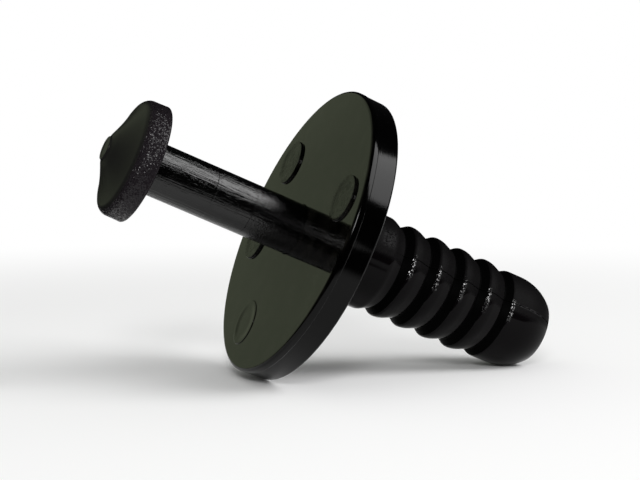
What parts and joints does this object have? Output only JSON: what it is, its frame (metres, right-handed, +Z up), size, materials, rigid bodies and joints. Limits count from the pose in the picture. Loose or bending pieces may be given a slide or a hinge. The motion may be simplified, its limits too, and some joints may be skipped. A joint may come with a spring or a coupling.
{
  "type": "plastic push rivet",
  "caption": "Push rivet with a wide round flange, a barbed split shank and a sliding push pin that spreads the shank to fasten panels.",
  "frame": {"origin": "middle of the footprint of the rivet as it lies, on the surface it lies on", "axes": "+Z up, +X along the rivet's length towards the barbed nose, which dips to the surface; the rivet's own axis lies in the XZ plane"},
  "size_m": [0.0392, 0.025, 0.0237],
  "materials": {
    "plug_black": "gloss",
    "pin_black": "satin"
  },
  "bodies": {
    "plug": {"barbed_plug": "plug_black"},
    "pin": {"push_pin": "pin_black"}
  },
  "joints": [
    {"name": "pin_push", "type": "slide", "parent": "plug", "child": "pin", "axis": [0.9172, 0, -0.3984], "range_m": [0, 0.0137]}
  ]
}
